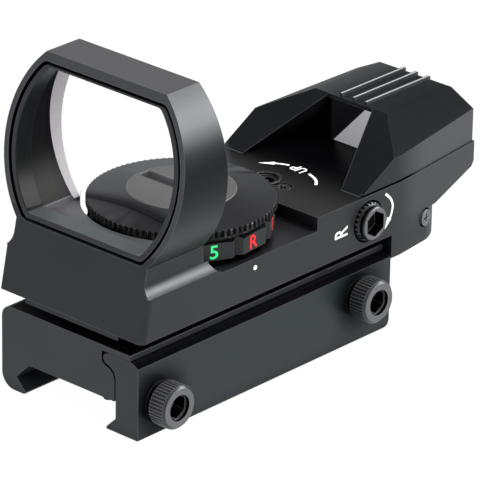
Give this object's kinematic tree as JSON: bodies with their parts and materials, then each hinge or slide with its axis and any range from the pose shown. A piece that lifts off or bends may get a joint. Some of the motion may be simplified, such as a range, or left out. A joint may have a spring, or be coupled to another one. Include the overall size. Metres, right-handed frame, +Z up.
{
  "type": "reflex red dot sight",
  "caption": "Open reflex red dot sight: raked window frame, notched brightness dial, hooded emitter, windage and elevation screws, and a dovetail rail clamp.",
  "frame": {"origin": "rail centre line, on the rail seat, in the plane of the mount's front face", "axes": "+X across the rail towards the clamp plate, +Y rearward along the rail, +Z up"},
  "size_m": [0.038, 0.0813, 0.0536],
  "materials": {
    "anodised_black": "matt hard anodised",
    "anodised_clamp": "matt hard anodised",
    "screw_black": "black oxide, semi gloss",
    "pin_steel": "turned",
    "spring_steel": "drawn wire",
    "bezel_black": "matt black",
    "lens_glass": "coated, clear",
    "dial_black": "fine satin",
    "board_green": "solder mask",
    "contact_brass": "plated",
    "cell_steel": "plated can",
    "cap_black": "fine satin",
    "emitter_black": "matt",
    "window_glass": "smoked, glossy",
    "reticle_film": "etched film",
    "led_red": "tinted epoxy",
    "wire_red": "insulation"
  },
  "bodies": {
    "mount": {"mount_base": "anodised_black", "yaw_pin": "pin_steel", "hold_down_screw": "pin_steel"},
    "clamp": {"clamp_plate": "anodised_clamp"},
    "clamp_bolt_front": {"clamp_screw_front": "screw_black"},
    "clamp_bolt_rear": {"clamp_screw_rear": "screw_black"},
    "yoke": {"pivot_yoke": "anodised_black", "pitch_pin": "pin_steel"},
    "sight": {"housing": "anodised_black", "lens_bezel": "bezel_black", "lens": "lens_glass", "hood": "anodised_black", "hood_screw": "screw_black", "bottom_cover": "anodised_black", "cover_screw": "pin_steel", "switch_board": "board_green", "hold_down_spring": "spring_steel", "windage_spring": "spring_steel", "detent_spring": "spring_steel", "emitter_block": "emitter_black", "emitter_window": "window_glass", "reticle_disc": "reticle_film", "led": "led_red", "led_board": "board_green", "led_wires": "wire_red"},
    "dial_group": {"dial": "dial_black", "dial_clip": "pin_steel", "contact_spring": "contact_brass", "battery": "cell_steel"},
    "cap": {"battery_cap": "cap_black"},
    "ball": {"detent_ball": "pin_steel"},
    "windage_turret": {"windage_screw": "screw_black"},
    "windage_pusher": {"windage_plunger": "pin_steel"},
    "elevation_turret": {"elevation_screw": "screw_black"},
    "elevation_pusher": {"elevation_plunger": "pin_steel"},
    "elevation_lock_screw": {"elevation_lock": "screw_black"},
    "windage_lock_screw": {"windage_lock": "screw_black"}
  },
  "joints": [
    {"name": "clamp_open", "type": "slide", "parent": "mount", "child": "clamp", "axis": [1, 0, 0], "range_m": [0, 0.004]},
    {"name": "clamp_screw_front_turn", "type": "hinge", "parent": "clamp", "child": "clamp_bolt_front", "pos_m": [0.0153, 0.00485, 0.0003], "axis": [1, 0, 0], "range_deg": [0, 2060]},
    {"name": "clamp_screw_rear_turn", "type": "hinge", "parent": "clamp", "child": "clamp_bolt_rear", "pos_m": [0.0153, 0.0507, 0.0027], "axis": [1, 0, 0], "range_deg": [0, 2060]},
    {"name": "windage", "type": "hinge", "parent": "mount", "child": "yoke", "pos_m": [0, 0.008, 0.0087], "axis": [0, 0, 1], "range_deg": [-1, 1], "deforming": ["windage_spring"]},
    {"name": "elevation", "type": "hinge", "parent": "yoke", "child": "sight", "pos_m": [0, 0.008, 0.0132], "axis": [1, 0, 0], "range_deg": [-1, 1], "deforming": ["hold_down_spring"]},
    {"name": "dial_turn", "type": "hinge", "parent": "sight", "child": "dial_group", "pos_m": [0, 0.0256, 0.0169], "axis": [0, 0, 1], "continuous": true},
    {"name": "cap_turn", "type": "hinge", "parent": "dial_group", "child": "cap", "pos_m": [0, 0.0256, 0.0223], "axis": [0, 0, 1], "range_deg": [0, 90]},
    {"name": "detent_click", "type": "slide", "parent": "sight", "child": "ball", "axis": [0, 0, 1], "range_m": [-0.0004, 0], "deforming": ["detent_spring"]},
    {"name": "windage_screw_turn", "type": "hinge", "parent": "sight", "child": "windage_turret", "pos_m": [0.015, 0.05265, 0.01475], "axis": [1, 0, 0], "range_deg": [-565, 565]},
    {"name": "windage_push", "type": "slide", "parent": "sight", "child": "windage_pusher", "axis": [1, 0, 0], "range_m": [-0.00079, 0.00079]},
    {"name": "elevation_screw_turn", "type": "hinge", "parent": "sight", "child": "elevation_turret", "pos_m": [-0.0011, 0.0463, 0.0185], "axis": [0, 0, 1], "range_deg": [-485, 485]},
    {"name": "elevation_push", "type": "slide", "parent": "sight", "child": "elevation_pusher", "axis": [0, 0, 1], "range_m": [-0.00068, 0.00068]},
    {"name": "elevation_lock_turn", "type": "hinge", "parent": "sight", "child": "elevation_lock_screw", "pos_m": [0.00295, 0.04585, 0.0183], "axis": [0, 0, 1], "range_deg": [0, 360]},
    {"name": "windage_lock_turn", "type": "hinge", "parent": "sight", "child": "windage_lock_screw", "pos_m": [0.0149, 0.0676, 0.0105], "axis": [0.9781, 0.2079, 0], "range_deg": [0, 360]}
  ],
  "couplings": [
    {"joint": "clamp_screw_front_turn", "follows": "clamp_open", "rad_per_m": 8976},
    {"joint": "clamp_screw_rear_turn", "follows": "clamp_open", "rad_per_m": 8976},
    {"joint": "windage_push", "follows": "windage", "m_per_rad": 0.04465},
    {"joint": "windage_screw_turn", "follows": "windage", "ratio": 561.1},
    {"joint": "elevation_push", "follows": "elevation", "m_per_rad": -0.0383},
    {"joint": "elevation_screw_turn", "follows": "elevation", "ratio": -481.3}
  ]
}
